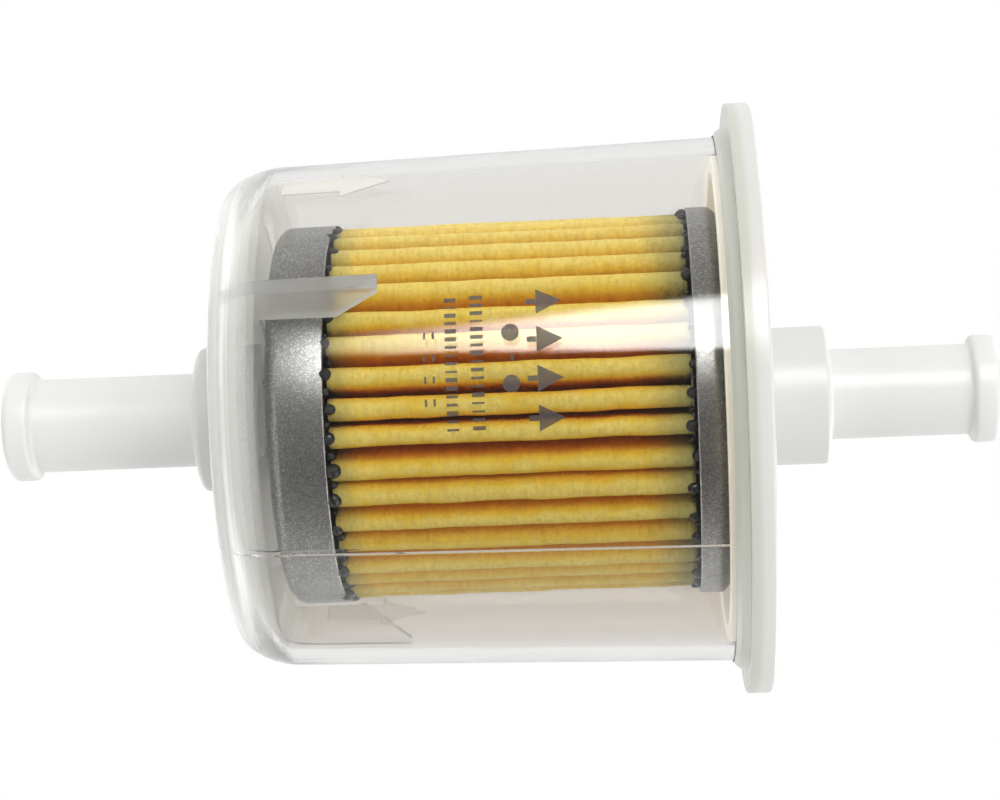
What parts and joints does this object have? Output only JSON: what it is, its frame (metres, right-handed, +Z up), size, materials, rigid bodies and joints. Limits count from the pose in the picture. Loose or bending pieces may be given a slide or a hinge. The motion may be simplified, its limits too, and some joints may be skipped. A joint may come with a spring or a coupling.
{
  "type": "fuel filter",
  "caption": "In-line fuel filter: clear drafted housing, flanged milky cover, hose spigots at both ends and a pleated paper element in metal end caps.",
  "frame": {"origin": "on the flow axis, midway between the two spigot ends, which is the centre of the bounding box", "axes": "+X runs along the flow, from the inlet spigot to the outlet spigot; +Z is up; the flange lies across X on the outlet side"},
  "size_m": [0.0874, 0.0516, 0.0516],
  "materials": {
    "clear_nylon": "clear moulded nylon, polished",
    "milky_nylon": "milky translucent nylon, satin",
    "plated_steel": "dull plated sheet with a fine sparkle",
    "filter_paper": "resin-treated yellow filter paper",
    "black_adhesive": "cured black potting adhesive",
    "black_rubber": "moulded rubber"
  },
  "bodies": {
    "root": {"housing": "clear_nylon", "outlet_cover": "milky_nylon", "weld_bead": "milky_nylon", "inlet_end_cap": "plated_steel", "outlet_end_cap": "plated_steel", "inlet_adhesive": "black_adhesive", "outlet_adhesive": "black_adhesive", "outlet_seal": "black_rubber", "centre_tube": "plated_steel", "pleated_paper": "filter_paper", "seam_clip": "plated_steel"}
  },
  "joints": []
}
